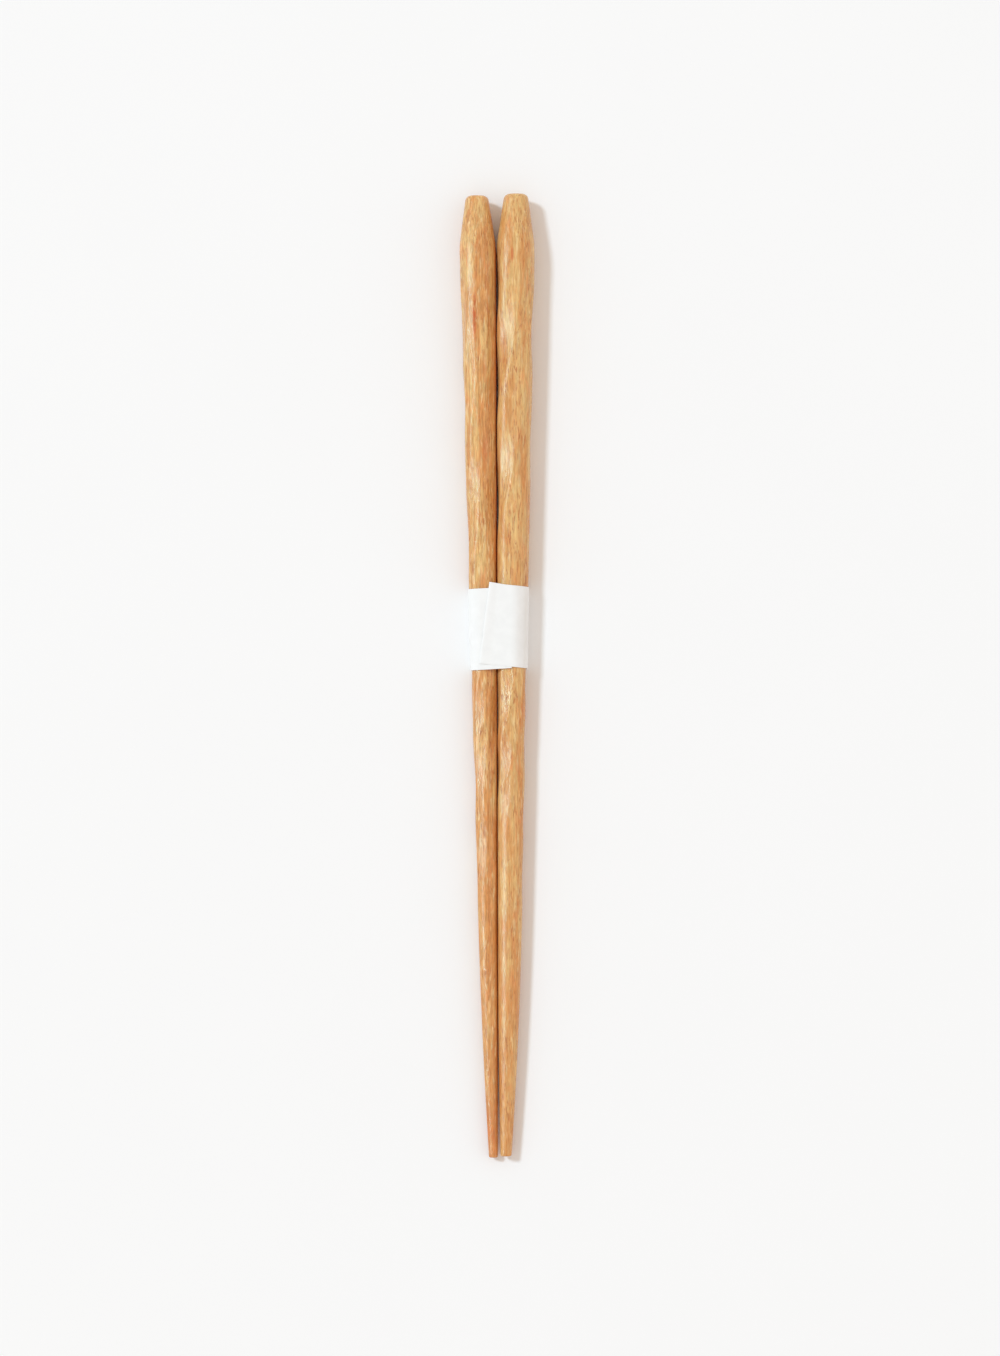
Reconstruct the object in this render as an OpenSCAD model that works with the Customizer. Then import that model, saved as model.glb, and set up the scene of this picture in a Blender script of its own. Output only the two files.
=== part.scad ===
// Pair of hand-carved wooden chopsticks lying side by side, held together by a paper band.
// Millimetres. Sticks lie along Y with their thick butt ends toward +Y and their tips
// toward -Y. Z is up, the resting surface is z = 0.

/* [Sticks] */
// length of each stick
stick_len = 230; // [200:1:260]
// how far the right stick lies beyond the left one, toward the butts
stagger = 0.4; // [0:0.1:3]
// open gap between the two sticks along their straight part
gap_w = 0.1; // [0.1:0.05:0.6]
// distance from the butt end to the shoulder, the thickest place
shoulder_at = 12; // [9:0.5:16]
// length of the straight taper, from the butt end to where the tip starts to round in
taper_len = 168; // [150:1:180]
// width by which the butt swells for each millimetre from its end face, as a ratio
butt_flare = 0.29; // [0.2:0.01:0.4]
// rounding of the rim at the butt end
rim_round = 1.2; // [0.6:0.1:1.4]
// rounding of the edge at the tip end
tip_round = 0.35; // [0.1:0.05:0.5]

/* [Left stick] */
// width across the shoulder
left_shoulder_w = 8.82; // [8:0.02:9.4]
// width at the end of the straight taper
left_lower_w = 4.8; // [4.4:0.05:5.4]
// width of the tip end
left_tip_w = 2.16; // [1.8:0.02:2.6]
// width of the butt end where the rim rounding starts
left_rim_w = 5.3; // [4.6:0.1:6]
// how far the tip bends toward the other stick
left_tip_lean = 0.5; // [0:0.02:0.52]

/* [Right stick] */
// width across the shoulder
right_shoulder_w = 9.24; // [8.4:0.02:9.8]
// width at the end of the straight taper
right_lower_w = 5.96; // [5.4:0.02:6.6]
// width of the tip end
right_tip_w = 2.64; // [2.2:0.02:3]
// width of the butt end where the rim rounding starts
right_rim_w = 5.6; // [5:0.1:6.4]
// how far the tip bends toward the other stick
right_tip_lean = 0.44; // [0:0.02:0.6]

/* [Carving] */
// depth of every knife cut, as a share of its listed depth
carve = 1; // [0.2:0.05:1.1]
// crispness of the ridges between cuts, higher is sharper
crisp = 36; // [20:1:60]

/* [Paper band] */
// width of the paper strip
band_w = 19.4; // [12:0.1:26]
// thickness of the paper
paper_t = 0.1; // [0.08:0.01:0.2]
// how far the strip's inner end lies from the middle of the sticks, toward the butts
band_y = 11.7; // [4:0.1:20]
// looseness of the band at the sides of the sticks
band_ease = 0.08; // [0.05:0.01:0.15]
// how far the strip's inner end lies past the top of the right stick, toward the left one
strip_start = 0.4; // [0:0.1:1.5]
// length by which the outer end of the strip overlaps the inner end
overlap = 5.9; // [3:0.1:6.2]
// slope of the strip at its inner end, in degrees
start_slope = -4.8; // [-6:0.1:0]
// slope of the strip at its outer end, in degrees
end_slope = 7.8; // [0:0.1:9]

/* [Hidden] */

wood_tint = [0.76, 0.52, 0.31];
wood_tint_b = [0.78, 0.55, 0.34];
paper_tint = [0.95, 0.95, 0.94];

// the seam between the sticks runs slightly aslant, seen from above
seam_butt_x = -0.23;
seam_slope = 0.0021;
// clear height kept between a stick's lowest line and the paper under it
paper_touch = 0.02;
// clear height kept between the two layers of paper where the strip overlaps itself
layer_gap = 0.02;

// knife cuts that show from above, placed by eye:
// [distance from the butt, angle round the stick with 90 on top and 180 at the left,
//  depth, half length, turn in degrees for each millimetre toward the tip]
left_cuts = [
  [30, 164, 0.52, 11, 1.2],
  [41, 130, 0.45, 13, 1.0],
  [50, 180, 0.35, 11, 1.2],
  [57, 98, 0.45, 13, 1.2],
  [48, 48, 0.5, 12, 1.0],
  [32, 88, 0.35, 13, 1.0],
  [32, 40, 0.35, 13, 1.0],
  [73, 128, 0.45, 13, 1.0],
  [75, 45, 0.55, 12, 1.0],
  [81, 176, 0.3, 12, 1.2],
  [91, 98, 0.4, 12, 1.2],
  [106, 120, 0.35, 13, 1.2],
  [106, 170, 0.3, 13, 1.2],
  [106, 60, 0.35, 13, 1.2],
  [122, 112, 0.3, 12, 1.2],
  [125, 40, 0.4, 10, 1.2],
  [118, 165, 0.15, 10, 1.2],
  [134, 114, 0.42, 10, 1.6],
  [140, 178, 0.35, 9, 1.2],
  [148, 130, 0.25, 10, 1.2],
  [148, 60, 0.25, 10, 1.2],
  [156, 118, 0.36, 9, 1.6],
  [165, 68, 0.36, 9, 1.2],
  [160, 175, 0.12, 9, 1.2],
];
right_cuts = [
  [22, 172, 0.45, 11, 1.2],
  [22, 98, 0.3, 13, 1.2],
  [32, 0, 0.45, 9, 1.2],
  [34, 122, 0.58, 12, 1.8],
  [34, 60, 0.3, 13, 1.2],
  [44, 170, 0.45, 11, 1.2],
  [50, 95, 0.45, 12, 1.5],
  [60, 3, 0.25, 9, 1.2],
  [65, 121, 0.58, 12, 1.8],
  [66, 64, 0.3, 13, 1.2],
  [73, 174, 0.45, 12, 1.2],
  [81, 97, 0.4, 14, 0.5],
  [99, 112, 0.45, 13, 1.2],
  [118, 114, 0.45, 10, 2.0],
  [117, 3, 0.3, 9, 1.2],
  [121, 168, 0.35, 9, 1.2],
  [125, 77, 0.4, 10, 1.8],
  [133, 114, 0.5, 8, 2.2],
  [131, 5, 0.32, 9, 1.2],
  [137, 168, 0.3, 8, 1.2],
  [140, 62, 0.35, 10, 1.8],
  [144, 116, 0.4, 6, 2.2],
  [148, 0, 0.2, 8, 1.2],
  [162, 0, 0.18, 8, 1.2],
];

// knife cuts of the underside: each is turned and moved on from the one before
under_first = 26;
under_step = 5.4;
under_count = 26;
// they stay in a fan of this many degrees that starts at this angle
under_angle = 210;
under_fan = 125;
under_turn = 83;
under_depth = 0.34;
under_uneven = 0.1;
under_half = 11;
under_lean = 1.5;
function under_cuts(turn) = [
  for (i = [0 : under_count - 1])
    [
      under_first + under_step * i,
      under_angle + (turn + under_turn * i) % under_fan,
      under_depth + under_uneven * sin(70 * i),
      under_half,
      under_lean,
    ]
];

// a stick: [shoulder radius, radius at the end of the taper, tip radius, rim radius,
//           tip lean, side (-1 left, 1 right), butt end y, cuts]
left_stick = [
  left_shoulder_w / 2, left_lower_w / 2, left_tip_w / 2, left_rim_w / 2,
  left_tip_lean, -1, (stick_len - stagger) / 2, concat(left_cuts, under_cuts(0)),
];
right_stick = [
  right_shoulder_w / 2, right_lower_w / 2, right_tip_w / 2, right_rim_w / 2,
  right_tip_lean, 1, (stick_len + stagger) / 2, concat(right_cuts, under_cuts(40)),
];
function shoulder_r(k) = k[0];
function lower_r(k) = k[1];
function tip_r(k) = k[2];
function rim_r(k) = k[3];
function tip_lean(k) = k[4];
function side(k) = k[5];
function butt_y(k) = k[6];
function cuts(k) = k[7];

sides = 28;
ring_step = 2.4;
// steps in the quarter turn of the rim, and in that of the tip's edge
rim_steps = 4;
tip_steps = 2;
// sharpness of the blend between the butt's flare and the taper
blend_sharp = 30;
tip_power = 2.2;
// a cut is left out beyond this many half lengths, and where it faces too far away
cut_reach = 2.3;
cut_facing = 0.15;

function total(list) = list * [for (v = list) 1];

// the smallest of a list of distances, with the corner between them softly rounded
function soft_min(list, sharp) =
  let (m = min(list)) m * pow(total([for (v = list) pow(m / v, sharp)]), -1 / sharp);

// drop of a quarter-round edge at a distance from the end face
function edge_drop(from_end, r) = from_end < r ? sqrt(r * r - (r - from_end) * (r - from_end)) - r : 0;

function taper(k) = (shoulder_r(k) - lower_r(k)) / (taper_len - shoulder_at);
function line_r(k, s) = shoulder_r(k) - taper(k) * (s - shoulder_at);
function tip_share(s) = max(0, s - taper_len) / (stick_len - taper_len);

// radius of the turned blank before any cut
function blank_r(k, s) =
  soft_min([
    rim_r(k) + butt_flare / 2 * s,
    line_r(k, s) - (line_r(k, stick_len) - tip_r(k)) * pow(tip_share(s), tip_power),
  ], blend_sharp);

// distance from the axis to the floor of one cut, measured straight down into the cut
function cut_floor(c, s, blank) = blank - carve * c[2] + carve * c[2] * pow((s - c[0]) / c[3], 2);

// distance from the axis to the carved surface at an angle round the stick
function carved_r(k, s, angle, blank, near) =
  soft_min(concat([blank], [
    for (c = near)
      let (turn = cos(angle - c[1] - c[4] * (s - c[0])))
      if (turn > cut_facing) cut_floor(c, s, blank) / turn
  ]), crisp);

// the lowest line of each stick climbs from its shoulder onto the paper band
climb = (paper_t + paper_touch) / (stick_len / 2 - band_y - band_w / 2 - shoulder_at);
function seam_x(s) = seam_butt_x + seam_slope * s;
function axis_x(k, s) =
  seam_x(s) + side(k) * (gap_w / 2 + line_r(k, s) - tip_lean(k) * pow(tip_share(s), 2));
function axis_z(k, s) = line_r(k, s) + climb * (s - shoulder_at);

// stations along a stick: close together round the rim and the tip edge
stations = concat(
  [for (i = [0 : rim_steps]) rim_round * (1 - cos(i * 90 / rim_steps))],
  [for (i = [1 : 3]) rim_round + (shoulder_at - 3 - rim_round) * i / 4],
  [for (s = [shoulder_at - 3 : ring_step : taper_len]) s],
  [for (i = [1 : 10]) taper_len + 0.5 + (stick_len - tip_round - taper_len - 0.5) * i / 10],
  [for (i = [1 : tip_steps]) stick_len - tip_round * (1 - sin(i * 90 / tip_steps))]
);

function ring(k, s) =
  let (
    blank = blank_r(k, s),
    near = [for (c = cuts(k)) if (abs(s - c[0]) < cut_reach * c[3]) c],
    drop = edge_drop(s, rim_round) + edge_drop(stick_len - s, tip_round)
  )
  [
    for (i = [0 : sides - 1])
      let (angle = 360 * i / sides, r = carved_r(k, s, angle, blank, near) + drop)
      [axis_x(k, s) + r * cos(angle), butt_y(k) - s, axis_z(k, s) + r * sin(angle)]
  ];

// triangles that join ring after ring
function side_faces(rings, n) = [
  for (j = [0 : rings - 2], i = [0 : n - 1])
    let (a = j * n + i, b = j * n + (i + 1) % n)
    each [[a, a + n, b], [b, a + n, b + n]]
];
// the flat face over the first or the last ring
function end_face(first, n, turned) = [for (i = [0 : n - 1]) first + (turned ? n - 1 - i : i)];

module stick(k) {
  points = [for (s = stations) each ring(k, s)];
  last = (len(stations) - 1) * sides;
  polyhedron(
    points,
    concat([end_face(0, sides, false)], side_faces(len(stations), sides), [end_face(last, sides, true)]),
    convexity = 4
  );
}

// the band is a strip wound once round both sticks, starting on top of the right one,
// passing over the left one, then under both and back over the top to its outer end.
// At a height y its path is two arcs joined by a straight run on top and one underneath
function stick_s(k, y) = butt_y(k) - y;
function loop_r(k, y) = line_r(k, stick_s(k, y)) + band_ease;
function loop_x(k, y) = axis_x(k, stick_s(k, y));
function loop_span(y) = loop_x(right_stick, y) - loop_x(left_stick, y);
function loop_tilt(y) = atan((loop_r(right_stick, y) - loop_r(left_stick, y)) / loop_span(y));
function arc_len(r, degrees) = r * degrees * PI / 180;

// lengths of the four stretches of the path at the middle of the strip
run_len = loop_span(band_y);
left_len = arc_len(loop_r(left_stick, band_y), 180 - 2 * loop_tilt(band_y));
right_len = arc_len(loop_r(right_stick, band_y), 180 + 2 * loop_tilt(band_y));
loop_len = 2 * run_len + left_len + right_len;

// a point at an angle round one stick, standing out from the path
function on_arc(k, y, angle, out) =
  let (r = loop_r(k, y))
  [loop_x(k, y) + (r + out) * cos(angle), y, paper_t + r + (r + out) * sin(angle)];
function between(a, b, share) = a + (b - a) * share;
// a point of the path, by the length u along its middle from the end of the right-hand arc
function path_point(y, u, out) =
  let (
    v = u < 0 ? u + loop_len : u >= loop_len ? u - loop_len : u,
    top = 90 + 2 * loop_tilt(y)
  )
  v < run_len ?
    between(on_arc(right_stick, y, top, out), on_arc(left_stick, y, top, out), v / run_len)
  : v < run_len + left_len ?
    on_arc(left_stick, y, between(top, 270, (v - run_len) / left_len), out)
  : v < 2 * run_len + left_len ?
    between(
      on_arc(left_stick, y, 270, out), on_arc(right_stick, y, 270, out),
      (v - run_len - left_len) / run_len
    )
  : on_arc(
      right_stick, y, between(270, 360 + top, (v - 2 * run_len - left_len) / right_len), out
    );

strip_len = loop_len + overlap;
strip_end = strip_start + strip_len;
slope_a = tan(start_slope);
slope_b = tan(end_slope);
strip_steps = 74;
strip_parts = 3;
// lengths over which the cut ends turn square to the slope
start_turn = 3;
end_turn = 6;
// the step onto the inner end starts this far before it and is this long
step_before = 3.4;
step_len = 2;

function strip_slope(u) = slope_a + (slope_b - slope_a) * (u - strip_start) / strip_len;
function strip_mid(u) = band_y + (slope_a + strip_slope(u)) / 2 * (u - strip_start);
function smooth_step(t) = let (q = min(1, max(0, t))) q * q * (3 - 2 * q);
// the strip's two cut ends stand square to its slope, and between them it is ruled along the sticks
function end_skew(u) =
  smooth_step(1 - (u - strip_start) / start_turn) + smooth_step(1 - (strip_end - u) / end_turn);
// the strip steps up onto its own inner end before it overlaps it
function layer_lift(u) =
  (paper_t + layer_gap) * smooth_step((u - loop_len - strip_start + step_before) / step_len);

// corners of the strip's cross-section at a length u: the outer face one way, the inner one back
strip_corners = concat(
  [for (i = [0 : strip_parts]) [2 * i / strip_parts - 1, 1]],
  [for (i = [strip_parts : -1 : 0]) [2 * i / strip_parts - 1, 0]]
);
function strip_ring(u) = [
  for (corner = strip_corners)
    let (
      across = corner[0] * band_w / 2,
      v = u - across * strip_slope(u) * end_skew(u)
    )
    path_point(strip_mid(u) + across, v, layer_lift(v) + corner[1] * paper_t)
];
// the narrow face at a cut end, as one quad for each part of the width
function strip_cap(first, turned) = [
  for (i = [0 : strip_parts - 1])
    let (q = [first + i, first + i + 1, first + 2 * strip_parts - i, first + 2 * strip_parts + 1 - i])
    turned ? [q[3], q[2], q[1], q[0]] : q
];

module chopstick_left() {
  color(wood_tint) stick(left_stick);
}

module chopstick_right() {
  color(wood_tint_b) stick(right_stick);
}

module paper_band() {
  n = len(strip_corners);
  points = [for (i = [0 : strip_steps]) each strip_ring(strip_start + strip_len * i / strip_steps)];
  color(paper_tint) polyhedron(
    points,
    concat(strip_cap(0, false), side_faces(strip_steps + 1, n), strip_cap(strip_steps * n, true)),
    convexity = 6
  );
}

chopstick_left();
chopstick_right();
paper_band();
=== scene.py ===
"""Two carved wooden chopsticks in a paper band: their finished surfaces, light and camera."""
import math

import bpy
import numpy as np
from bpy.props import FloatProperty, FloatVectorProperty, PointerProperty
from bpy.types import Operator, Panel, PropertyGroup
from mathutils import Matrix, Vector


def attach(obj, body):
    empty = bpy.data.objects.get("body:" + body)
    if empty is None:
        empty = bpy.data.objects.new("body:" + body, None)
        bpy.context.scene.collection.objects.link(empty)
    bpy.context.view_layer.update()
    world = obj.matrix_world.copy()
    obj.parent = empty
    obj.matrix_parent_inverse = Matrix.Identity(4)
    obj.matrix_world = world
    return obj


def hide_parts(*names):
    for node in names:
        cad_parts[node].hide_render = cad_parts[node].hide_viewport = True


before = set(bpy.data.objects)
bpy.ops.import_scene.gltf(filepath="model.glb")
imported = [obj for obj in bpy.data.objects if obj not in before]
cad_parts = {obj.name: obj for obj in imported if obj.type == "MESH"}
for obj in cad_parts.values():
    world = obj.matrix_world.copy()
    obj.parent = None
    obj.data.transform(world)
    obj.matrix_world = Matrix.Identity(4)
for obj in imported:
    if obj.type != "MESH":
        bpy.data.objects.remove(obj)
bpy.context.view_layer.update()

bl_info = {
    "name": "Chopsticks in a Paper Band",
    "version": (1, 0, 0),
    "blender": (4, 5, 0),
    "location": "View3D > Sidebar > Chopsticks",
    "description": "Carves two lacquered wooden chopsticks and wraps a paper strip round them",
    "category": "Add Mesh",
}

MM = 0.001

# Knife cuts that show from above: distance from the butt in mm, angle round the stick with
# 90 on top and 180 at the left, depth in mm, half length in mm, turn in degrees per mm.
LEFT_CUTS = [
    (30, 164, 0.52, 11, 1.2),
    (41, 130, 0.45, 13, 1.0),
    (50, 180, 0.35, 11, 1.2),
    (57, 98, 0.45, 13, 1.2),
    (48, 48, 0.5, 12, 1.0),
    (32, 88, 0.35, 13, 1.0),
    (32, 40, 0.35, 13, 1.0),
    (73, 128, 0.45, 13, 1.0),
    (75, 45, 0.55, 12, 1.0),
    (81, 176, 0.3, 12, 1.2),
    (91, 98, 0.4, 12, 1.2),
    (106, 120, 0.35, 13, 1.2),
    (106, 170, 0.3, 13, 1.2),
    (106, 60, 0.35, 13, 1.2),
    (122, 112, 0.3, 12, 1.2),
    (125, 40, 0.4, 10, 1.2),
    (118, 165, 0.15, 10, 1.2),
    (134, 114, 0.42, 10, 1.6),
    (140, 178, 0.35, 9, 1.2),
    (148, 130, 0.25, 10, 1.2),
    (148, 60, 0.25, 10, 1.2),
    (156, 118, 0.36, 9, 1.6),
    (165, 68, 0.36, 9, 1.2),
    (160, 175, 0.12, 9, 1.2),
]
RIGHT_CUTS = [
    (22, 172, 0.45, 11, 1.2),
    (22, 98, 0.3, 13, 1.2),
    (32, 0, 0.45, 9, 1.2),
    (34, 122, 0.58, 12, 1.8),
    (34, 60, 0.3, 13, 1.2),
    (44, 170, 0.45, 11, 1.2),
    (50, 95, 0.45, 12, 1.5),
    (60, 3, 0.25, 9, 1.2),
    (65, 121, 0.58, 12, 1.8),
    (66, 64, 0.3, 13, 1.2),
    (73, 174, 0.45, 12, 1.2),
    (81, 97, 0.4, 14, 0.5),
    (99, 112, 0.45, 13, 1.2),
    (118, 114, 0.45, 10, 2.0),
    (117, 3, 0.3, 9, 1.2),
    (121, 168, 0.35, 9, 1.2),
    (125, 77, 0.4, 10, 1.8),
    (133, 114, 0.5, 8, 2.2),
    (131, 5, 0.32, 9, 1.2),
    (137, 168, 0.3, 8, 1.2),
    (140, 62, 0.35, 10, 1.8),
    (144, 116, 0.4, 6, 2.2),
    (148, 0, 0.2, 8, 1.2),
    (162, 0, 0.18, 8, 1.2),
]
# Cuts of the underside: how many there are, the first one's place and the step to the next in mm.
UNDER_COUNT, UNDER_FIRST, UNDER_STEP = 26, 26, 5.4
# Their lowest angle, the turn from one to the next and the range they stay in, in degrees.
UNDER_LOW, UNDER_TURN, UNDER_RANGE = 210, 83, 125
# Their mean depth and its swing in mm, with the swing's step from one to the next in degrees.
UNDER_DEPTH, UNDER_SWING, UNDER_WAVE = 0.34, 0.1, 70
# Their half length in mm and turn in degrees per mm.
UNDER_HALF_LEN, UNDER_TWIST = 11, 1.5

# Red-brown streaks in millimetres: centre x, y, z, half sizes across, along and deep, strength.
LEFT_MARKS = [
    (-5.4, 84.0, 8.6, 0.8, 12.5, 1.2, 0.85),
    (-5.5, 31.9, 7.2, 0.5, 3.6, 1.2, 0.9),
    (-2.6, 54.5, 8.0, 1.6, 7.0, 1.5, 0.35),
    (-1.4, -108.0, 1.6, 2.6, 16.0, 3.0, 0.45),
]
RIGHT_MARKS = [
    (3.6, 100.5, 8.9, 0.5, 2.4, 1.2, 0.6),
    (5.2, -24.0, 6.6, 0.35, 4.6, 1.2, 0.7),
    (6.0, -8.0, 6.9, 0.4, 4.5, 1.4, 0.6),
]


def under_cuts(turn):
    """Cuts of the underside, each moved on and turned from the one before, of rising and falling depth."""
    cuts = []
    for i in range(UNDER_COUNT):
        middle = UNDER_LOW + (turn + UNDER_TURN * i) % UNDER_RANGE
        depth = UNDER_DEPTH + UNDER_SWING * math.sin(math.radians(UNDER_WAVE * i))
        cuts.append((UNDER_FIRST + UNDER_STEP * i, middle, depth, UNDER_HALF_LEN, UNDER_TWIST))
    return cuts


def length(name, text, mm):
    """A length the user can change, written here in millimetres."""
    return FloatProperty(name=name, description=text, default=mm * MM, unit="LENGTH", precision=5)


def tint(name, text, rgb):
    """A colour the user can change, as linear red, green and blue."""
    return FloatVectorProperty(
        name=name, description=text, default=rgb, size=3, subtype="COLOR", min=0, max=1)


class CHOPSTICKS_PG_sticks(PropertyGroup):
    stick_len: length("Length", "Length of each stick", 230)
    stagger: length("Stagger", "How far the right stick lies beyond the left one", 0.4)
    gap_w: length("Gap", "Open gap between the two sticks", 0.02)
    shoulder_at: length("Shoulder place", "Distance from the butt end to the shoulder", 12)
    taper_len: length("Taper length", "From the butt end to where the tip starts to round in", 168)
    rim_round: length("Rim rounding", "Rounding of the rim at the butt end", 1.2)
    tip_round: length("Tip rounding", "Rounding of the edge at the tip end", 0.35)
    butt_flare: FloatProperty(
        name="Butt flare", description="Growth in width for each unit of length", default=0.29)
    crisp: FloatProperty(
        name="Ridge crispness", description="Higher makes the ridges sharper", default=64)


class CHOPSTICKS_PG_left(PropertyGroup):
    shoulder_w: length("Shoulder width", "Width across the shoulder", 8.82)
    lower_w: length("Lower width", "Width at the end of the straight taper", 4.8)
    tip_w: length("Tip width", "Width of the tip end", 2.16)
    rim_w: length("Rim width", "Width where the rim rounding starts", 5.3)
    tip_lean: length("Tip lean", "How far the tip bends toward the other stick", 0.5)


class CHOPSTICKS_PG_right(PropertyGroup):
    shoulder_w: length("Shoulder width", "Width across the shoulder", 9.24)
    lower_w: length("Lower width", "Width at the end of the straight taper", 5.96)
    tip_w: length("Tip width", "Width of the tip end", 2.64)
    rim_w: length("Rim width", "Width where the rim rounding starts", 5.6)
    tip_lean: length("Tip lean", "How far the tip bends toward the other stick", 0.44)


class CHOPSTICKS_PG_band(PropertyGroup):
    band_w: length("Width", "Width of the paper strip", 19.4)
    paper_t: length("Thickness", "Thickness of the paper", 0.1)
    band_y: length("Place", "Middle of the strip's inner end along the sticks", 11.7)
    band_ease: length("Looseness", "Looseness of the band at the sides of the sticks", 0.08)
    strip_start: length("Start", "How far the inner end lies past the top of the right stick", 0.4)
    overlap: length("Overlap", "Length by which the outer end covers the inner end", 5.9)
    start_slope: FloatProperty(
        name="Start slope", description="Slope of the strip at its inner end",
        default=math.radians(-4.8), subtype="ANGLE")
    end_slope: FloatProperty(
        name="End slope", description="Slope of the strip at its outer end",
        default=math.radians(7.8), subtype="ANGLE")


class CHOPSTICKS_PG_looks(PropertyGroup):
    wood_pale: tint("Pale wood", "Yellow of the pale wood between the streaks", (0.78, 0.51, 0.2))
    wood_warm: tint("Warm wood", "Orange of the warm patches", (0.7, 0.34, 0.11))
    wood_cream: tint("Cream flecks", "Palest flecks in the wood", (0.88, 0.68, 0.36))
    wood_streak: tint("Streaks", "Darker growth layers and flecks", (0.64, 0.23, 0.05))
    wood_fibre: tint("Fibres", "Long thin fibres along the sticks", (0.58, 0.2, 0.045))
    wood_red: tint("Red blots", "Rare reddish blots", (0.78, 0.26, 0.08))
    wood_pore: tint("Pores", "Short red-brown pores", (0.46, 0.13, 0.03))
    wood_blood: tint("Red streaks", "Broken red-brown streaks at a few places", (0.6, 0.1, 0.02))
    # Colour of the painted shade in the cleft, where the sticks face each other.
    seam_painted_shade: tint("Seam", "Dark sides where the sticks face each other", (0.5, 0.07, 0.01))
    paper: tint("Paper", "White of the paper", (0.915, 0.915, 0.905))
    floor: tint("Floor", "White of the floor", (0.94, 0.94, 0.94))


# Lengths from here to the materials are in millimetres.

# The seam between the sticks: its place at the butts and its slope, for it runs slightly aslant.
SEAM_BUTT_X, SEAM_SLOPE = -0.23, 0.0021
# Sharpness of the blend between butt and taper, and power of the curve by which the tip rounds in.
BLEND_SHARP, TIP_POWER = 30, 2.2
# A cut ends where it faces away by this cosine or beyond this many half lengths, and is then far off.
CUT_FACING, CUT_REACH, CUT_OFF = 0.15, 2.3, 1e3
# Points round a stick, steps from ring to ring on the taper and at the tip, and the room left before
# the rounding of the tip.
AROUND, RING_STEP, TIP_RING_STEP, TIP_ROOM = 96, 0.25, 0.45, 0.2
# Unevenness of hand-cut wood: height, length of a bump along the stick and number of bumps round it.
UNEVEN_BROAD, UNEVEN_FINE, UNEVEN_LONG = (0.022, 3.1, 16), (0.012, 1.3, 32), (0.01, 14, 12)
# Lengths over which the unevenness fades in from the butt and out to the tip, and over which its two
# short kinds fade out, with how far past the end of the taper they are gone.
FADE_BUTT, FADE_TIP, FADE_SHORT, SHORT_PAST = 3, 8, 20, 8
# Cells of the table of random heights, along a stick and round it.
NOISE_CELLS = (512, 64)
# Rings that close an end, as shares of its rim, and the heights of the domes at butt and tip.
CAP_SHARES, BUTT_DOME, TIP_DOME = (0.12, 0.3, 0.5, 0.68, 0.82, 0.92), 0.10, -0.05
# Clear space between paper and what it lies on.
PAPER_TOUCH = 0.02
# Cross-sections of the strip up to its last stretch and in it, that stretch's length, points across.
STRIP_ROWS, LAST_ROWS, LAST_LEN, STRIP_ACROSS = 440, 61, 3, 61
# Lengths over which the square cut of the inner and of the outer end fades into the strip.
SQUARE_INNER, SQUARE_OUTER = 3, 6
# How far before its own inner end the strip starts to step up, and the length of the step.
STEP_AHEAD, STEP_LEN = 3.4, 2
# Free edge of the paper: height of its lift and of its last drop, and lengths of both.
EDGE_LIFT, EDGE_DROP = 0.2, 0.14
EDGE_CURL, EDGE_NOSE = 2.6, 0.45


def soft_min(parts, sharp):
    """Smallest of several distances with rounded corners: a power mean of a large negative power."""
    low = np.minimum.reduce(parts)
    return low * sum((low / part) ** sharp for part in parts) ** (-1 / sharp)


def edge_drop(from_end, r):
    """Drop of a quarter-round edge: the circle's height at this distance from the end, less its radius."""
    near = np.clip(from_end, 0, r)
    return np.sqrt(np.maximum(r * r - (r - near) ** 2, 0)) - r


def soft_noise(u, v, seed, around):
    """Random heights from -1 to 1 on a lattice of whole numbers, blended between them with s-curves.

    v repeats after as many cells as go round a stick, so the pattern closes."""
    table = np.random.default_rng(seed).uniform(-1, 1, NOISE_CELLS)
    u, v = np.broadcast_arrays(u, v)
    iu, iv = np.floor(u).astype(int), np.floor(v).astype(int)
    fu, fv = u - iu, v - iv
    fu, fv = smooth_step(fu), smooth_step(fv)
    a, b = iu % NOISE_CELLS[0], (iu + 1) % NOISE_CELLS[0]
    c, d = iv % around, (iv + 1) % around
    low = table[a, c] * (1 - fu) + table[b, c] * fu
    high = table[a, d] * (1 - fu) + table[b, d] * fu
    return low * (1 - fv) + high * fv


def smooth_step(t):
    """S-curve from 0 to 1."""
    q = np.clip(t, 0, 1)
    return q * q * (3 - 2 * q)


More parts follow.
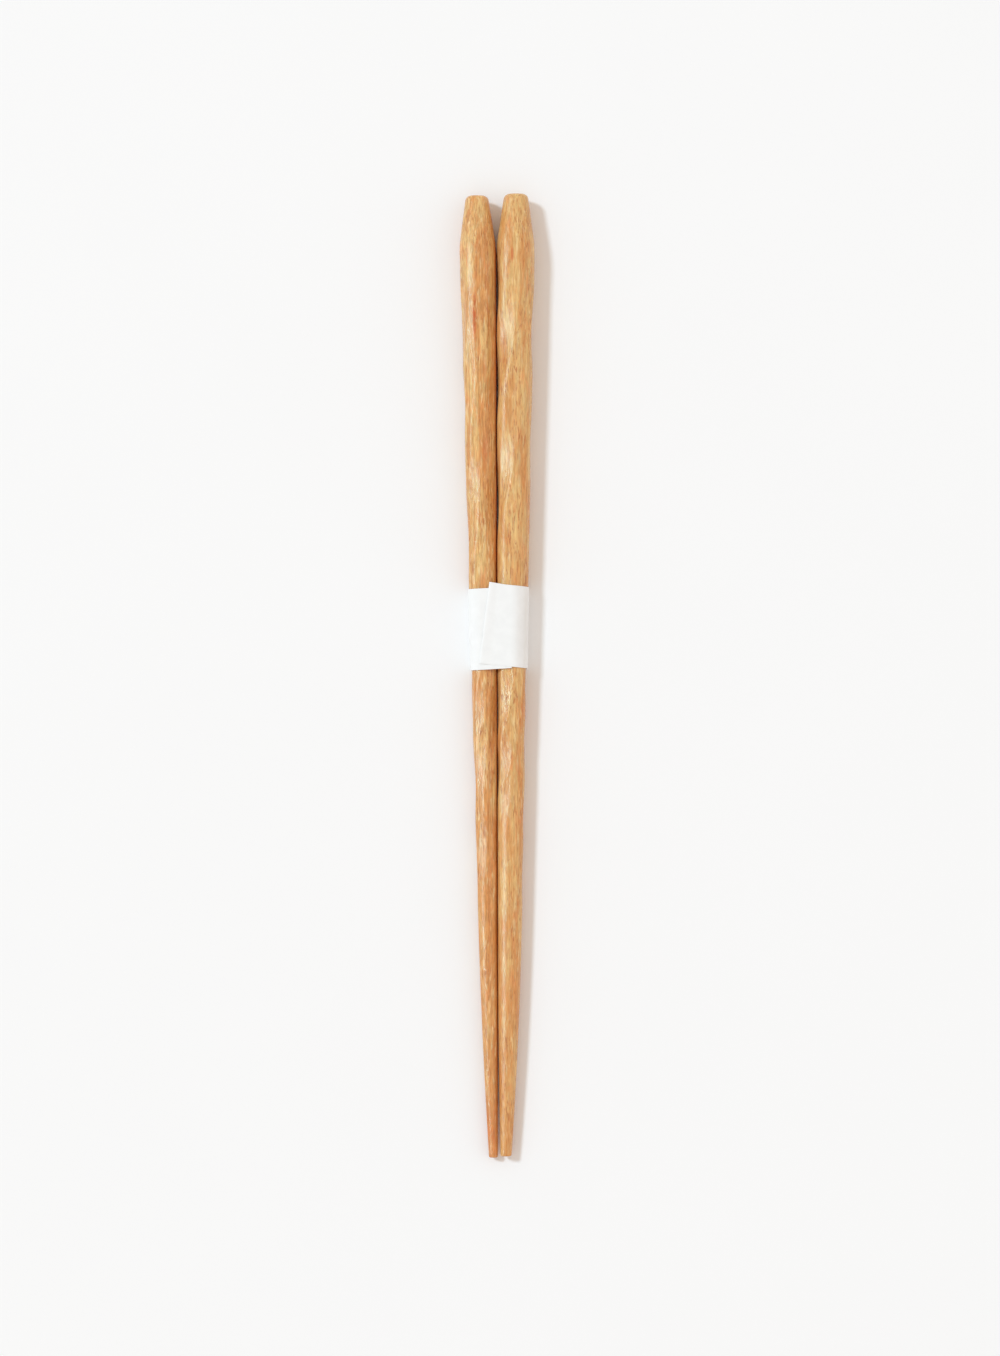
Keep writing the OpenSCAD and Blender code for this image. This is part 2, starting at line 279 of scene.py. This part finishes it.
class Stick:
    """Sizes of one stick in millimetres, and its forms worked out from them."""

    def __init__(self, pair, own, band, side, cuts):
        self.side, self.cuts = side, cuts
        self.stick_len, self.gap_w = pair.stick_len / MM, pair.gap_w / MM
        self.shoulder_at, self.taper_len = pair.shoulder_at / MM, pair.taper_len / MM
        self.rim_round, self.tip_round = pair.rim_round / MM, pair.tip_round / MM
        self.flare, self.crisp = pair.butt_flare, pair.crisp
        self.shoulder_r, self.lower_r = own.shoulder_w / MM / 2, own.lower_w / MM / 2
        self.tip_r, self.rim_r = own.tip_w / MM / 2, own.rim_w / MM / 2
        self.tip_lean = own.tip_lean / MM
        self.butt_y = (self.stick_len + side * pair.stagger / MM) / 2
        rise = band.paper_t / MM + PAPER_TOUCH
        reach = self.stick_len / 2 - band.band_y / MM - band.band_w / MM / 2 - self.shoulder_at
        self.climb = rise / reach

    def line_r(self, s):
        """Radius of the straight taper: falls evenly from the shoulder."""
        slope = (self.shoulder_r - self.lower_r) / (self.taper_len - self.shoulder_at)
        return self.shoulder_r - slope * (s - self.shoulder_at)

    def tip_share(self, s):
        """0 up to the end of the taper, then rising evenly to 1 at the tip."""
        return np.maximum(0, s - self.taper_len) / (self.stick_len - self.taper_len)

    def blank_r(self, s):
        """Radius before any cut: the smaller of the flaring butt and the taper, whose tip rounds in."""
        loss = self.line_r(self.stick_len) - self.tip_r
        return soft_min([
            self.rim_r + self.flare / 2 * s,
            self.line_r(s) - loss * self.tip_share(s) ** TIP_POWER,
        ], BLEND_SHARP)

    def carved_r(self, s, angle):
        """Distance from the axis to the carved surface.

        Each cut is a flat scoop: its floor is the blank's radius less a depth that fades as the
        square of the distance along the stick, divided by the cosine of the angle from its middle."""
        blank = self.blank_r(s)
        parts = [blank + 0 * angle]
        for place, middle, depth, half_len, turn in self.cuts:
            floor = blank - depth + depth * ((s - place) / half_len) ** 2
            facing = np.cos(np.radians(angle - middle - turn * (s - place)))
            near = (facing > CUT_FACING) & (np.abs(s - place) < CUT_REACH * half_len)
            parts.append(np.where(near, floor / np.maximum(facing, CUT_FACING), CUT_OFF))
        return soft_min(parts, self.crisp)

    def axis(self, s):
        """Place of the axis: beside the seam by the taper's radius, its lowest line climbing gently."""
        seam = SEAM_BUTT_X + SEAM_SLOPE * s
        lean = self.tip_lean * self.tip_share(s) ** 2
        x = seam + self.side * (self.gap_w / 2 + self.line_r(s) - lean)
        z = self.line_r(s) + self.climb * (s - self.shoulder_at)
        return x, self.butt_y - s, z


def stick_points(stick, seed):
    """Grid of points of a stick: rings along its length, each at the carved radius round the axis.

    Fine unevenness lies over it, but not where the sticks face each other. Both ends close with
    shrinking rings, slightly domed, and a pole point."""
    r, t, end = stick.rim_round, stick.tip_round, stick.stick_len
    quarter = np.linspace(0, math.pi / 2, 9)
    s = np.concatenate([
        r * (1 - np.cos(quarter)),
        np.arange(r + RING_STEP, stick.taper_len, RING_STEP),
        np.arange(stick.taper_len, end - t - TIP_ROOM, TIP_RING_STEP),
        (end - t * (1 - np.sin(quarter)))[[0, 2, 4, 6, 7, 8]],
    ])
    angle = np.arange(AROUND) * 360 / AROUND
    s2, a2 = s[:, None], angle[None, :]
    drop = edge_drop(s2, r) + edge_drop(end - s2, t)
    radius = stick.carved_r(s2, a2)
    fade = smooth_step(s2 / FADE_BUTT) * smooth_step((end - s2) / FADE_TIP)
    short = smooth_step((stick.taper_len + SHORT_PAST - s2) / FADE_SHORT)
    facing = np.maximum(0, -stick.side * np.cos(np.radians(a2)))
    calm = 1 - facing ** 4

    def uneven(kind, draw):
        """Random heights of one kind, their cells as long and as many round the stick as it says."""
        height, long, count = kind
        return height * soft_noise(s2 / long, a2 / 360 * count, draw, count)

    radius = radius + fade * calm * (
        short * uneven(UNEVEN_BROAD, seed)
        + short * uneven(UNEVEN_FINE, seed + 1)
        + uneven(UNEVEN_LONG, seed + 2)
    )
    radius = radius + drop
    x, y, z = stick.axis(s2)
    cos, sin = np.cos(np.radians(a2)), np.sin(np.radians(a2))
    body = np.stack(np.broadcast_arrays(x + radius * cos, y, z + radius * sin), -1)
    butt = cap_rings(body[0], CAP_SHARES, BUTT_DOME)
    tip = cap_rings(body[-1], CAP_SHARES[1::2], TIP_DOME)[::-1]
    return np.concatenate([butt, body, tip])


def cap_rings(rim, shares, dome):
    """Rings that close an end: the rim shrunk toward its middle, raised as a shallow dome."""
    k = np.array(shares)[:, None, None]
    middle = rim.mean(0)
    rings = middle + (rim[None] - middle) * k
    rings[..., 1] += dome * (1 - k[..., 0] ** 2)
    return rings


def tube_faces(rows, cols):
    """Quads between neighbouring rings of a tube, whose last column joins its first."""
    i, j = np.meshgrid(np.arange(rows - 1), np.arange(cols), indexing="ij")
    a, b = i * cols + j, i * cols + (j + 1) % cols
    return np.stack([a, a + cols, b + cols, b], -1).reshape(-1, 4).tolist()


def new_mesh(name, points, faces):
    """Mesh from points in millimetres and the faces between them."""
    mesh = bpy.data.meshes.new(name)
    mesh.from_pydata((points * MM).tolist(), [], faces)
    mesh.validate()
    return mesh


def stick_mesh(name, grid):
    """Closed mesh of a stick: a tube of its rings, with a fan of triangles to a pole at each end."""
    rows, cols = grid.shape[:2]
    points = grid.reshape(-1, 3)
    butt_pole, tip_pole = np.full(cols, len(points)), np.full(cols, len(points) + 1)
    points = np.concatenate([points, grid[0].mean(0)[None], grid[-1].mean(0)[None]])
    here = np.arange(cols)
    beside = (here + 1) % cols
    last = (rows - 1) * cols
    fans = np.concatenate([
        np.stack([butt_pole, here, beside], -1),
        np.stack([tip_pole, beside + last, here + last], -1),
    ])
    return new_mesh(name, points, tube_faces(rows, cols) + fans.tolist())


# Angles in degrees up to which neighbouring faces of the wood and of the paper are shaded as one.
SMOOTH_WOOD, SMOOTH_PAPER = 50, 40


def add_piece(name, mesh, material, smooth_deg):
    """Object at the origin that carries the mesh and one material, shaded smooth up to an angle."""
    obj = bpy.data.objects.new(name, mesh)
    bpy.context.scene.collection.objects.link(obj)
    mesh.materials.append(material)
    mesh.polygons.foreach_set("use_smooth", np.ones(len(mesh.polygons), bool))
    mesh.set_sharp_from_angle(angle=math.radians(smooth_deg))
    mesh.update()
    return obj


def band_path(band, left, right):
    """Returns a function from (y, length u, stand-out) to points of the strip's path.

    At each y the path is the left arc and the right arc round the sticks, each the taper's radius
    plus the looseness, joined by their two common tangents, and u runs along it in equal shares."""
    ease, paper, mid_y = band.band_ease / MM, band.paper_t / MM, band.band_y / MM

    def ring(stick, y):
        s = stick.butt_y - y
        return stick.axis(s)[0], stick.line_r(s) + ease

    def tilt(y):
        (xl, rl), (xr, rr) = ring(left, y), ring(right, y)
        return np.arctan((rr - rl) / (xr - xl)), xr - xl, rl, rr

    lean, run, rl, rr = tilt(mid_y)
    left_len, right_len = rl * (math.pi - 2 * lean), rr * (math.pi + 2 * lean)
    loop = 2 * run + left_len + right_len

    def point(y, u, out):
        v = np.where(u < 0, u + loop, np.where(u >= loop, u - loop, u))
        top = math.pi / 2 + 2 * tilt(y)[0]
        (xl, rl_y), (xr, rr_y) = ring(left, y), ring(right, y)

        def arc(x, r, angle):
            return x + (r + out) * np.cos(angle), paper + r + (r + out) * np.sin(angle)

        def between(p, q, share):
            return p[0] + (q[0] - p[0]) * share, p[1] + (q[1] - p[1]) * share

        over = between(arc(xr, rr_y, top), arc(xl, rl_y, top), v / run)
        round_left = arc(xl, rl_y, top + (1.5 * math.pi - top) * (v - run) / left_len)
        low = 1.5 * math.pi
        under = between(arc(xl, rl_y, low), arc(xr, rr_y, low), (v - run - left_len) / run)
        share = (v - 2 * run - left_len) / right_len
        round_right = arc(xr, rr_y, low + (2 * math.pi + top - low) * share)
        part = [v < run, v < run + left_len, v < 2 * run + left_len]
        x = np.select(part, [over[0], round_left[0], under[0]], round_right[0])
        z = np.select(part, [over[1], round_left[1], under[1]], round_right[1])
        return np.stack(np.broadcast_arrays(x, y + 0 * x, z), -1)

    return point, loop


def band_points(band, left, right):
    """Grid of points of the strip: at each length its outer face one way across and its inner face back.

    The strip's middle climbs along the sticks as a parabola, its two cut ends stand square to its
    slope, and it steps up by one thickness before it covers its own inner end. The free edge stands
    off a little and its last stretch rounds down again."""
    point, loop = band_path(band, left, right)
    paper, wide = band.paper_t / MM, band.band_w / MM
    start, total = band.strip_start / MM, loop + band.overlap / MM
    slope_a, slope_b = math.tan(band.start_slope), math.tan(band.end_slope)
    stop = start + total
    u = np.concatenate([
        np.linspace(start, stop - LAST_LEN, STRIP_ROWS, endpoint=False),
        np.linspace(stop - LAST_LEN, stop, LAST_ROWS),
    ])[:, None]
    half = np.linspace(-1, 1, STRIP_ACROSS)
    across = np.concatenate([half, half[::-1]])[None, :] * wide / 2
    layer = np.repeat([1.0, 0.0], len(half))[None, :]
    slope = slope_a + (slope_b - slope_a) * (u - start) / total
    middle = band.band_y / MM + (slope_a + slope) / 2 * (u - start)
    skew = smooth_step(1 - (u - start) / SQUARE_INNER) + smooth_step(1 - (stop - u) / SQUARE_OUTER)
    v = u - across * slope * skew
    y = middle + across
    step_up = smooth_step((v - loop - start + STEP_AHEAD) / STEP_LEN)
    rise = smooth_step((u - stop + EDGE_CURL) / (EDGE_CURL - EDGE_NOSE))
    nose = np.clip((u - stop + EDGE_NOSE) / EDGE_NOSE, 0, 1) ** 2
    out = (paper + PAPER_TOUCH) * step_up + paper * layer + EDGE_LIFT * rise - EDGE_DROP * nose
    return point(y, v, out)


def strip_mesh(name, grid):
    """Closed mesh of the strip: a tube of its cross-sections, with quads across both cut ends."""
    rows, cols = grid.shape[:2]
    i = np.arange(cols // 2 - 1)
    across = np.stack([i, i + 1, cols - 2 - i, cols - 1 - i], -1)
    ends = np.concatenate([across[:, ::-1], across + (rows - 1) * cols])
    return new_mesh(name, grid.reshape(-1, 3), tube_faces(rows, cols) + ends.tolist())


class Nodes:
    """Small helper that adds shader nodes and links them."""

    def __init__(self, name):
        self.material = bpy.data.materials.new(name)
        self.material.use_nodes = True
        self.tree = self.material.node_tree
        self.tree.nodes.clear()

    def add(self, kind, values=None, **settings):
        """New node with its settings, and each input given a value or linked to an output."""
        node = self.tree.nodes.new(kind)
        for key, value in settings.items():
            setattr(node, key, value)
        for key, value in (values or {}).items():
            if isinstance(value, bpy.types.NodeSocket):
                self.tree.links.new(value, node.inputs[key])
            else:
                node.inputs[key].default_value = value
        return node

    def stretched(self, scale, offset=(0, 0, 0)):
        """Object coordinates in millimetres, scaled along each axis and then moved by the offset."""
        place = self.add("ShaderNodeTexCoord").outputs["Object"]
        values = {"Vector": place, "Scale": tuple(k / MM for k in scale), "Location": offset}
        return self.add("ShaderNodeMapping", values).outputs[0]

    def noise(self, scale, offset=(0, 0, 0), detail=3.0, rough=0.55, twist=0.0):
        """Noise whose cells have the given number per millimetre along X, Y and Z."""
        return self.add("ShaderNodeTexNoise", {
            "Vector": self.stretched(scale, offset), "Scale": 1.0, "Detail": detail,
            "Roughness": rough, "Distortion": twist,
        }).outputs["Fac"]

    def ramp(self, value, low, high):
        """0 below the low value, 1 above the high one, with an s-curve between."""
        return self.add("ShaderNodeMapRange", {
            "Value": value, "From Min": low, "From Max": high, "To Min": 0.0, "To Max": 1.0,
        }, interpolation_type="SMOOTHSTEP").outputs["Result"]

    def scaled(self, value, low, high):
        """Value from 0 to 1 spread between two numbers."""
        return self.add("ShaderNodeMapRange", {
            "Value": value, "From Min": 0.0, "From Max": 1.0, "To Min": low, "To Max": high,
        }).outputs["Result"]

    def math(self, operation, a, b):
        """Sum, product or other result of two values or outputs."""
        return self.add("ShaderNodeMath", {0: a, 1: b}, operation=operation).outputs[0]

    def mix(self, share, a, b, blend="MIX"):
        """The second colour laid over the first by a share from 0 to 1."""
        a, b = (c if isinstance(c, bpy.types.NodeSocket) else (*c, 1.0) for c in (a, b))
        values = {0: share, 6: a, 7: b}
        return self.add("ShaderNodeMix", values, data_type="RGBA", blend_type=blend).outputs[2]

    def finish(self, shader):
        """Links the shader to the material's output."""
        self.add("ShaderNodeOutputMaterial", {"Surface": shader.outputs[0]})
        return self.material


# Distance from the seam at which the painted dark shade of the cleft has faded out, at the tips and at the
# butts, how much shorter it is on the right stick, and its greatest strength.
SEAM_REACH, SEAM_SHORTER, SEAM_STRENGTH = (0.12, 0.4), 2.5, 0.92
# Share by which the wood turns less warm with each millimetre toward the butts.
WARM_DRIFT = 0.0009
# Heights of the wood's and the paper's relief in metres.
WOOD_RELIEF, PAPER_RELIEF = 0.00008, 0.00004


def seam_shade(n, butt_y):
    """Share of painted shade: 1 where a stick faces the other one closely, 0 beyond a reach that grows
    toward the butts.
    """
    place = n.add("ShaderNodeSeparateXYZ", {0: n.stretched((1, 1, 1))})
    seam = SEAM_BUTT_X + SEAM_SLOPE * butt_y
    across = n.math("ADD", place.outputs["X"], n.math("MULTIPLY", place.outputs["Y"], SEAM_SLOPE))
    rightward = n.math("SUBTRACT", across, seam)
    on_right = n.math("MULTIPLY", rightward, SEAM_SHORTER)
    away = n.math("MAXIMUM", on_right, n.math("MULTIPLY", rightward, -1.0))
    reach = n.add("ShaderNodeMapRange", {
        "Value": place.outputs["Y"], "From Min": -butt_y, "From Max": butt_y,
        "To Min": SEAM_REACH[0], "To Max": SEAM_REACH[1],
    }).outputs["Result"]
    return n.ramp(n.math("DIVIDE", away, reach), 1.0, 0.3)


def mark_share(n, mark):
    """1 in the middle of an ellipsoid given by its centre and half sizes in mm, fading to 0 at its rim."""
    centre, half = mark[:3], mark[3:]
    inside = n.stretched([1 / h for h in half], [-c / h for c, h in zip(centre, half)])
    reach = n.add("ShaderNodeVectorMath", {0: inside}, operation="LENGTH").outputs["Value"]
    return n.ramp(reach, 1.0, 0.35)


def wood_material(name, looks, offset, warmth, grain, butt_y, marks):
    """Lacquered wood: warm and pale patches, growth layers, dark and pale flecks, fibres and pores.

    Each mark lays a red-brown streak at its place, and the sides that face each other are darkened with
    painted shade."""
    n = Nodes(name)
    far = (offset[0] + 40, 7, 3)
    along = n.add("ShaderNodeSeparateXYZ", {0: n.stretched((1, 1, 1))}).outputs["Y"]
    drift = n.math("MULTIPLY", along, WARM_DRIFT)
    patches = n.math("SUBTRACT", n.noise((0.3, 0.055, 0.3), offset, 3.0), drift)
    patches = n.ramp(patches, 0.4 - warmth, 0.6 - warmth)
    layers = n.add("ShaderNodeTexWave", {
        "Vector": n.stretched((0.62, 0.018, 0.3), offset), "Scale": 0.32, "Distortion": 3.5,
        "Detail": 3.0, "Detail Scale": 1.4, "Detail Roughness": 0.6,
    }, wave_type="BANDS", bands_direction="DIAGONAL", wave_profile="SAW").outputs["Fac"]
    flecks = n.ramp(n.noise((2.2, 0.3, 2.2), offset, 3.0, 0.6, 0.4), 0.5, 0.66)
    fibres = n.ramp(n.noise((2.8, 0.07, 2.8), far, 3.0, 0.6, 0.2), 0.5, 0.6)
    porous = n.scaled(n.ramp(n.noise((0.34, 0.09, 0.34), far, 2.0), 0.42, 0.6), 0.2, 0.75)
    pores = n.ramp(n.noise((3.6, 0.5, 3.6), far, 2.0, 0.5, 0.3), 0.56, 0.64)
    pores = n.math("MULTIPLY", pores, porous)
    dashes = n.ramp(n.noise((1.8, 0.26, 1.8), far, 3.0, 0.6, 0.5), 0.52, 0.68)
    blots = n.ramp(n.noise((0.75, 0.16, 0.75), far, 3.0, 0.6, 0.8), 0.5, 0.7)
    fine = n.noise((2.6, 0.26, 2.6), offset, 4.0, 0.7, 0.2)
    relief = n.noise((2.6, 1.1, 2.6), far, 3.0, 0.6)
    colour = n.mix(patches, looks.wood_pale, looks.wood_warm)
    colour = n.mix(n.math("MULTIPLY", layers, 0.2), colour, looks.wood_streak)
    colour = n.mix(n.math("MULTIPLY", dashes, 0.5 * grain), colour, looks.wood_cream)
    colour = n.mix(n.math("MULTIPLY", flecks, 0.36 * grain), colour, looks.wood_streak)
    colour = n.mix(n.math("MULTIPLY", fibres, 0.4 * grain), colour, looks.wood_fibre)
    colour = n.mix(n.math("MULTIPLY", blots, 0.4), colour, looks.wood_red)
    colour = n.mix(pores, colour, looks.wood_pore)
    specks = n.ramp(n.noise((1.5, 0.6, 1.5), far, 3.0, 0.6), 0.4, 0.54)
    for *mark, depth in marks:
        broken = n.math("MULTIPLY", mark_share(n, mark), n.scaled(specks, 0.2, depth))
        colour = n.mix(broken, colour, looks.wood_blood)
    shade = n.scaled(n.ramp(fine, 0.25, 0.75), 1 - 0.17 * grain, 1 + 0.15 * grain)
    grey = n.add("ShaderNodeCombineColor", {0: shade, 1: shade, 2: shade}).outputs[0]
    colour = n.mix(1.0, colour, grey, "MULTIPLY")
    # Painted shade: the sides that face each other are darkened toward the cleft's shade colour.
    seam = seam_shade(n, butt_y)
    colour = n.mix(n.math("MULTIPLY", seam, SEAM_STRENGTH), colour, looks.seam_painted_shade)
    height = n.math("ADD", n.math("MULTIPLY", fine, 0.5), relief)
    height = n.math("SUBTRACT", height, n.math("MULTIPLY", pores, 0.3))
    bump = n.add("ShaderNodeBump", {"Height": height, "Strength": 1.0, "Distance": WOOD_RELIEF})
    rough = n.math("ADD", n.scaled(fine, 0.14, 0.26), n.math("MULTIPLY", pores, 0.12))
    shader = n.add("ShaderNodeBsdfPrincipled", {
        "Base Color": colour, "Roughness": rough, "Normal": bump.outputs[0], "Specular IOR Level": 0.45,
    })
    return n.finish(shader)


def paper_material(name, looks):
    """Matt white paper with faint cloudy mottling and fine fibres."""
    n = Nodes(name)
    cloud = n.noise((0.35, 0.35, 0.35), (3, 1, 2), 3.0)
    fibre = n.noise((5.0, 5.0, 5.0), (9, 4, 1), 4.0, 0.6, 0.8)
    white = tuple(looks.paper)
    grey = tuple(0.965 * c for c in white)
    colour = n.mix(n.ramp(cloud, 0.3, 0.7), grey, white)
    height = n.math("ADD", n.math("MULTIPLY", fibre, 0.5), cloud)
    bump = n.add("ShaderNodeBump", {"Height": height, "Strength": 0.25, "Distance": PAPER_RELIEF})
    return n.finish(n.add("ShaderNodeBsdfPrincipled", {
        "Base Color": colour, "Roughness": n.scaled(fibre, 0.78, 0.92), "Normal": bump.outputs[0],
    }))


def floor_material(name, looks):
    """Plain pale floor without gloss, with a hardly visible grain."""
    n = Nodes(name)
    grain = n.noise((0.02, 0.02, 0.02), (0, 0, 0), 2.0)
    white = tuple(looks.floor)
    colour = n.mix(n.ramp(grain, 0.2, 0.8), tuple(0.995 * c for c in white), white)
    return n.finish(n.add("ShaderNodeBsdfPrincipled", {
        "Base Color": colour, "Roughness": 0.9, "Specular IOR Level": 0.0,
    }))


def both_sticks(scene):
    """The left and the right stick as shapes, from the scene's sizes."""
    pair, band = scene.chopstick_pair, scene.chopstick_band
    left = Stick(pair, scene.chopstick_left, band, -1, LEFT_CUTS + under_cuts(0))
    right = Stick(pair, scene.chopstick_right, band, 1, RIGHT_CUTS + under_cuts(40))
    return left, right


class CHOPSTICKS_OT_sticks(Operator):
    """Carves the two sticks and gives them lacquered wood"""
    bl_idname = "chopsticks.sticks"
    bl_label = "Carve Sticks"

    def execute(self, context):
        looks = context.scene.chopstick_looks
        left, right = both_sticks(context.scene)
        for stick, node, slot, seed, warmth, grain, marks in (
            (left, "chopstick_left", "wood_left", 11, 0.05, 1.3, LEFT_MARKS),
            (right, "chopstick_right", "wood_right", 47, -0.02, 1.0, RIGHT_MARKS),
        ):
            offset = (seed * 3.0, seed * 1.7, 0)
            material = wood_material(slot, looks, offset, warmth, grain, stick.butt_y, marks)
            mesh = stick_mesh("carved_" + node, stick_points(stick, seed))
            piece = add_piece("carved_" + node, mesh, material, SMOOTH_WOOD)
            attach(piece, "root")
            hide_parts(node)
        return {"FINISHED"}


class CHOPSTICKS_OT_band(Operator):
    """Wraps the paper strip round both sticks"""
    bl_idname = "chopsticks.band"
    bl_label = "Wrap Band"

    def execute(self, context):
        scene = context.scene
        left, right = both_sticks(scene)
        grid = band_points(scene.chopstick_band, left, right)
        paper = paper_material("paper", scene.chopstick_looks)
        mesh = strip_mesh("wrapped_paper", grid)
        piece = add_piece("wrapped_paper", mesh, paper, SMOOTH_PAPER)
        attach(piece, "root")
        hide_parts("paper_band")
        return {"FINISHED"}


# Soft boxes: name, elevation and azimuth in degrees, width and length in metres, share of the light,
# whether it lights the surfaces or only shows as gloss on them, and its colour.
SOFT_BOXES = (
    ("key", 50.5, 148.5, 1.64, 1.64, 0.305, True, (0.86, 1.08, 1.24)),
    ("side", 33, 0, 8.6, 11.6, 0.035, True, (1.0, 1.0, 1.0)),
    ("strip", 33, 180, 0.528, 5.28, 0.225, False, (0.66, 1.1, 1.1)),
)
# Their distance from the origin in metres.
BOX_FAR = 12.0
# Level and tint of the even light from all round, and the white that shows behind the floor.
FILL_LEVEL, FILL_TINT, BACK_WHITE = 0.68, (1.06, 0.96, 0.88), 0.94
# Half the floor's side and its drop below the resting surface, in metres.
FLOOR_HALF, FLOOR_DROP = 3.0, 0.00002
# Camera: height, middle of the view, height of the sticks' axes, length of the frame at that height,
# all in metres, and height of the film in millimetres.
VIEW_HEIGHT, VIEW_MIDDLE = 1.1, (0.0007, -0.0004)
AXIS_HEIGHT, FRAME_TALL, FILM_TALL = 0.0043, 0.324, 24.0


def add_soft_box(scene, name, elevation, azimuth, wide, long, share, lights, colour):
    """Rectangular lamp that faces the origin, its length along Y, and gives the floor this share of light.

    It either lights the surfaces or is only mirrored in their gloss."""
    flat = math.cos(elevation)
    toward = Vector((flat * math.cos(azimuth), flat * math.sin(azimuth), math.sin(elevation)))
    across = Vector((0, 1, 0)).cross(toward).normalized()
    lamp = bpy.data.lights.new(name, "AREA")
    lamp.shape = "RECTANGLE"
    lamp.size, lamp.size_y = wide, long
    lamp.energy = share * (math.pi * BOX_FAR) ** 2 / math.sin(elevation)
    lamp.color = colour
    box = bpy.data.objects.new(name, lamp)
    turned = Matrix((across, toward.cross(across), toward)).transposed()
    box.matrix_world = Matrix.Translation(toward * BOX_FAR) @ turned.to_4x4()
    box.visible_diffuse, box.visible_glossy = lights, not lights
    scene.collection.objects.link(box)


def studio_world():
    """World that gives an even warm light, and is white where it is seen, mirrored or looked through."""
    world = bpy.data.worlds.new("studio")
    world.use_nodes = True
    tree = world.node_tree
    tree.nodes.clear()
    path = tree.nodes.new("ShaderNodeLightPath")
    seen = path.outputs["Is Camera Ray"]
    for name in ("Is Glossy Ray", "Is Transmission Ray"):
        either = tree.nodes.new("ShaderNodeMath")
        either.operation = "MAXIMUM"
        tree.links.new(seen, either.inputs[0])
        tree.links.new(path.outputs[name], either.inputs[1])
        seen = either.outputs[0]
    fill = tree.nodes.new("ShaderNodeBackground")
    fill.inputs["Color"].default_value = (*FILL_TINT, 1)
    fill.inputs["Strength"].default_value = FILL_LEVEL
    white = tree.nodes.new("ShaderNodeBackground")
    white.inputs["Color"].default_value = (1, 1, 1, 1)
    white.inputs["Strength"].default_value = BACK_WHITE
    pick = tree.nodes.new("ShaderNodeMixShader")
    out = tree.nodes.new("ShaderNodeOutputWorld")
    tree.links.new(seen, pick.inputs[0])
    tree.links.new(fill.outputs[0], pick.inputs[1])
    tree.links.new(white.outputs[0], pick.inputs[2])
    tree.links.new(pick.outputs[0], out.inputs["Surface"])
    return world


def camera_above(scene):
    """Camera that looks straight down, its lens set by the length of floor that the frame takes in."""
    view = bpy.data.cameras.new("camera")
    view.sensor_fit = "VERTICAL"
    view.sensor_height = FILM_TALL
    view.lens = FILM_TALL * (VIEW_HEIGHT - AXIS_HEIGHT) / FRAME_TALL
    view.clip_start = 0.01
    camera = bpy.data.objects.new("camera", view)
    camera.location = (*VIEW_MIDDLE, VIEW_HEIGHT)
    scene.collection.objects.link(camera)
    return camera


class CHOPSTICKS_OT_stage(Operator):
    """Sets the floor, the light and the camera that looks straight down"""
    bl_idname = "chopsticks.stage"
    bl_label = "Set Stage"

    def execute(self, context):
        scene = context.scene
        mesh = bpy.data.meshes.new("floor")
        r = FLOOR_HALF
        mesh.from_pydata([(-r, -r, 0), (r, -r, 0), (r, r, 0), (-r, r, 0)], [], [(0, 1, 2, 3)])
        floor = bpy.data.objects.new("floor", mesh)
        floor.location.z = -FLOOR_DROP
        scene.collection.objects.link(floor)
        mesh.materials.append(floor_material("floor_white", scene.chopstick_looks))

        for name, elevation, azimuth, *size_and_use in SOFT_BOXES:
            add_soft_box(scene, name, math.radians(elevation), math.radians(azimuth), *size_and_use)
        scene.world = studio_world()
        scene.camera = camera_above(scene)
        scene.view_settings.view_transform = "Standard"
        return {"FINISHED"}


class CHOPSTICKS_PT_panel(Panel):
    """Lists the steps, then the sizes and colours, in the sidebar"""
    bl_idname = "CHOPSTICKS_PT_panel"
    bl_label = "Chopsticks"
    bl_space_type = "VIEW_3D"
    bl_region_type = "UI"
    bl_category = "Chopsticks"

    def draw(self, context):
        layout = self.layout
        for operator in OPERATORS:
            layout.operator(operator.bl_idname)
        for name in GROUPS:
            group = getattr(context.scene, name)
            box = layout.box()
            for key in group.bl_rna.properties.keys():
                if key not in ("rna_type", "name"):
                    box.prop(group, key)


GROUPS = {
    "chopstick_pair": CHOPSTICKS_PG_sticks,
    "chopstick_left": CHOPSTICKS_PG_left,
    "chopstick_right": CHOPSTICKS_PG_right,
    "chopstick_band": CHOPSTICKS_PG_band,
    "chopstick_looks": CHOPSTICKS_PG_looks,
}
OPERATORS = (CHOPSTICKS_OT_stage, CHOPSTICKS_OT_sticks, CHOPSTICKS_OT_band)


def register():
    """Adds the classes and hangs the groups of sizes on the scene."""
    for cls in (*GROUPS.values(), *OPERATORS, CHOPSTICKS_PT_panel):
        bpy.utils.register_class(cls)
    for name, cls in GROUPS.items():
        setattr(bpy.types.Scene, name, PointerProperty(type=cls))


def unregister():
    """Takes back what register added."""
    for name in GROUPS:
        delattr(bpy.types.Scene, name)
    for cls in (CHOPSTICKS_PT_panel, *OPERATORS[::-1], *list(GROUPS.values())[::-1]):
        bpy.utils.unregister_class(cls)


def main():
    register()
    bpy.ops.chopsticks.stage()
    bpy.ops.chopsticks.sticks()
    bpy.ops.chopsticks.band()


if __name__ == "__main__":
    main()
